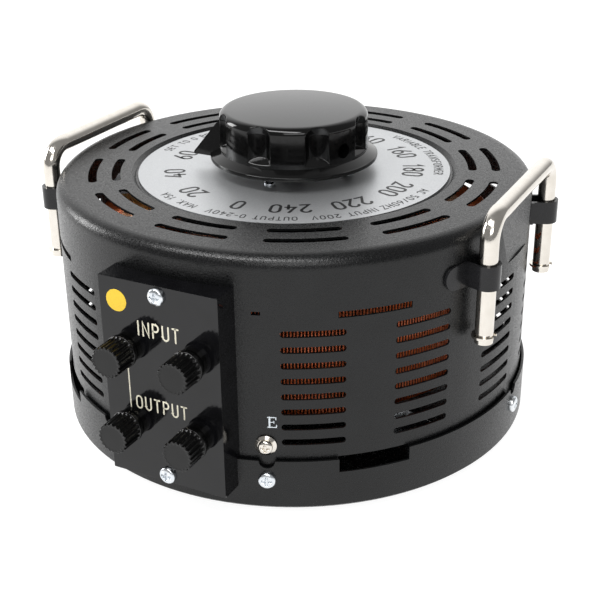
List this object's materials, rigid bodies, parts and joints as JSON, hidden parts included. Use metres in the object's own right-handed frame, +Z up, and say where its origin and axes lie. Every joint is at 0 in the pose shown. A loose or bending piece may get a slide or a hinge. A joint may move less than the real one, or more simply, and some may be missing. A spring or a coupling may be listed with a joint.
{
  "type": "variable autotransformer",
  "caption": "Round bench variable autotransformer with a vented cover, dial and fluted knob, terminal box with screw posts, and two sliding lifting handles.",
  "frame": {"origin": "on the dial axis, at the level of the undersides of the feet", "axes": "+Z up along the dial shaft, -Y out of the terminal box, +X towards the right-hand lifting handle"},
  "size_m": [0.2668, 0.2867, 0.17],
  "materials": {
    "dark_paint": "fine textured charcoal paint",
    "black_rubber": "moulded",
    "zinc": "bright zinc plate",
    "black_moulding": "semi-gloss black moulding",
    "black_bakelite": "glossy black phenolic",
    "brass": "turned",
    "tinned_brass": "tinned",
    "nickel": "bright nickel plate",
    "satin_aluminium": "satin anodised",
    "blackened_steel": "blackened",
    "enamelled_copper": "polyurethane enamel",
    "insulating_paper": "varnished wrap",
    "silicon_steel": "strip-wound core",
    "cast_aluminium": "as cast and machined",
    "fibre_board": "pressboard",
    "bronze": "sintered bronze",
    "ground_steel": "ground",
    "phenolic": "laminated phenolic",
    "carbon": "pressed carbon",
    "lead_sleeve": "glass-fibre sleeve",
    "black_enamel": "semi-gloss black enamel"
  },
  "bodies": {
    "casing": {"base_pan": "dark_paint", "base_screws": "zinc", "bonding_strap": "zinc", "brush_lead": "lead_sleeve", "collector_block": "phenolic", "collector_leaf": "bronze", "core": "silicon_steel", "core_wrap": "insulating_paper", "cover": "dark_paint", "dial_plate": "satin_aluminium", "dial_screws": "zinc", "earth_nut": "zinc", "earth_screw": "nickel", "earth_washer": "nickel", "foot_screws": "zinc", "frame_screws": "zinc", "handle_clamps_left": "black_enamel", "handle_clamps_right": "black_enamel", "lower_bush": "bronze", "lower_frame": "cast_aluminium", "lower_insulator": "fibre_board", "post_collars": "black_bakelite", "rubber_feet": "black_rubber", "solder_lugs": "tinned_brass", "stop_peg": "zinc", "stud_nuts": "brass", "terminal_box": "black_moulding", "terminal_box_screws": "zinc", "terminal_leads": "lead_sleeve", "terminal_studs": "brass", "tie_bolts": "zinc", "upper_bush": "bronze", "upper_clamp": "cast_aluminium", "upper_insulator": "fibre_board", "winding": "enamelled_copper"},
    "rotor": {"shaft": "ground_steel", "shaft_retainer": "ground_steel", "hub_sleeve": "phenolic", "slip_ring": "brass", "brush_arm": "cast_aluminium", "turning_stop": "zinc", "brush_holder": "brass", "brush_cap": "brass", "brush_spring": "ground_steel", "control_knob": "black_bakelite", "knob_set_screw": "blackened_steel"},
    "brush": {"carbon_brush": "carbon"},
    "handle_right": {"handle_right": "nickel", "handle_rings_right": "nickel"},
    "handle_left": {"handle_left": "nickel", "handle_rings_left": "nickel"},
    "washer_input_left": {"clamp_washer_input_left": "blackened_steel"},
    "knob_input_left": {"post_knob_input_left": "black_bakelite"},
    "washer_input_right": {"clamp_washer_input_right": "blackened_steel"},
    "knob_input_right": {"post_knob_input_right": "black_bakelite"},
    "washer_output_left": {"clamp_washer_output_left": "blackened_steel"},
    "knob_output_left": {"post_knob_output_left": "black_bakelite"},
    "washer_output_right": {"clamp_washer_output_right": "blackened_steel"},
    "knob_output_right": {"post_knob_output_right": "black_bakelite"}
  },
  "joints": [
    {"name": "dial_turn", "type": "hinge", "parent": "casing", "child": "rotor", "pos_m": [0, 0, 0.11], "axis": [0, 0, 1], "range_deg": [-267, 69]},
    {"name": "brush_travel", "type": "slide", "parent": "rotor", "child": "brush", "axis": [0, 0, 1], "range_m": [0, 0.0025], "stiffness_N_per_m": 300, "springref_m": -0.006, "deforming": ["brush_spring"]},
    {"name": "handle_right_lift", "type": "slide", "parent": "casing", "child": "handle_right", "axis": [0, 0, 1], "range_m": [0, 0.0235]},
    {"name": "handle_left_lift", "type": "slide", "parent": "casing", "child": "handle_left", "axis": [0, 0, 1], "range_m": [0, 0.0235]},
    {"name": "post_input_left_travel", "type": "slide", "parent": "casing", "child": "washer_input_left", "axis": [0, -1, 0], "range_m": [0, 0.004]},
    {"name": "post_input_left_turn", "type": "hinge", "parent": "washer_input_left", "child": "knob_input_left", "pos_m": [-0.018, -0.145, 0.087], "axis": [0, -1, 0], "range_deg": [0, 1801]},
    {"name": "post_input_right_travel", "type": "slide", "parent": "casing", "child": "washer_input_right", "axis": [0, -1, 0], "range_m": [0, 0.004]},
    {"name": "post_input_right_turn", "type": "hinge", "parent": "washer_input_right", "child": "knob_input_right", "pos_m": [0.018, -0.145, 0.087], "axis": [0, -1, 0], "range_deg": [0, 1801]},
    {"name": "post_output_left_travel", "type": "slide", "parent": "casing", "child": "washer_output_left", "axis": [0, -1, 0], "range_m": [0, 0.004]},
    {"name": "post_output_left_turn", "type": "hinge", "parent": "washer_output_left", "child": "knob_output_left", "pos_m": [-0.018, -0.145, 0.0462], "axis": [0, -1, 0], "range_deg": [0, 1801]},
    {"name": "post_output_right_travel", "type": "slide", "parent": "casing", "child": "washer_output_right", "axis": [0, -1, 0], "range_m": [0, 0.004]},
    {"name": "post_output_right_turn", "type": "hinge", "parent": "washer_output_right", "child": "knob_output_right", "pos_m": [0.018, -0.145, 0.0462], "axis": [0, -1, 0], "range_deg": [0, 1801]}
  ],
  "couplings": [
    {"joint": "post_input_left_turn", "follows": "post_input_left_travel", "rad_per_m": 7854},
    {"joint": "post_input_right_turn", "follows": "post_input_right_travel", "rad_per_m": 7854},
    {"joint": "post_output_left_turn", "follows": "post_output_left_travel", "rad_per_m": 7854},
    {"joint": "post_output_right_turn", "follows": "post_output_right_travel", "rad_per_m": 7854}
  ]
}
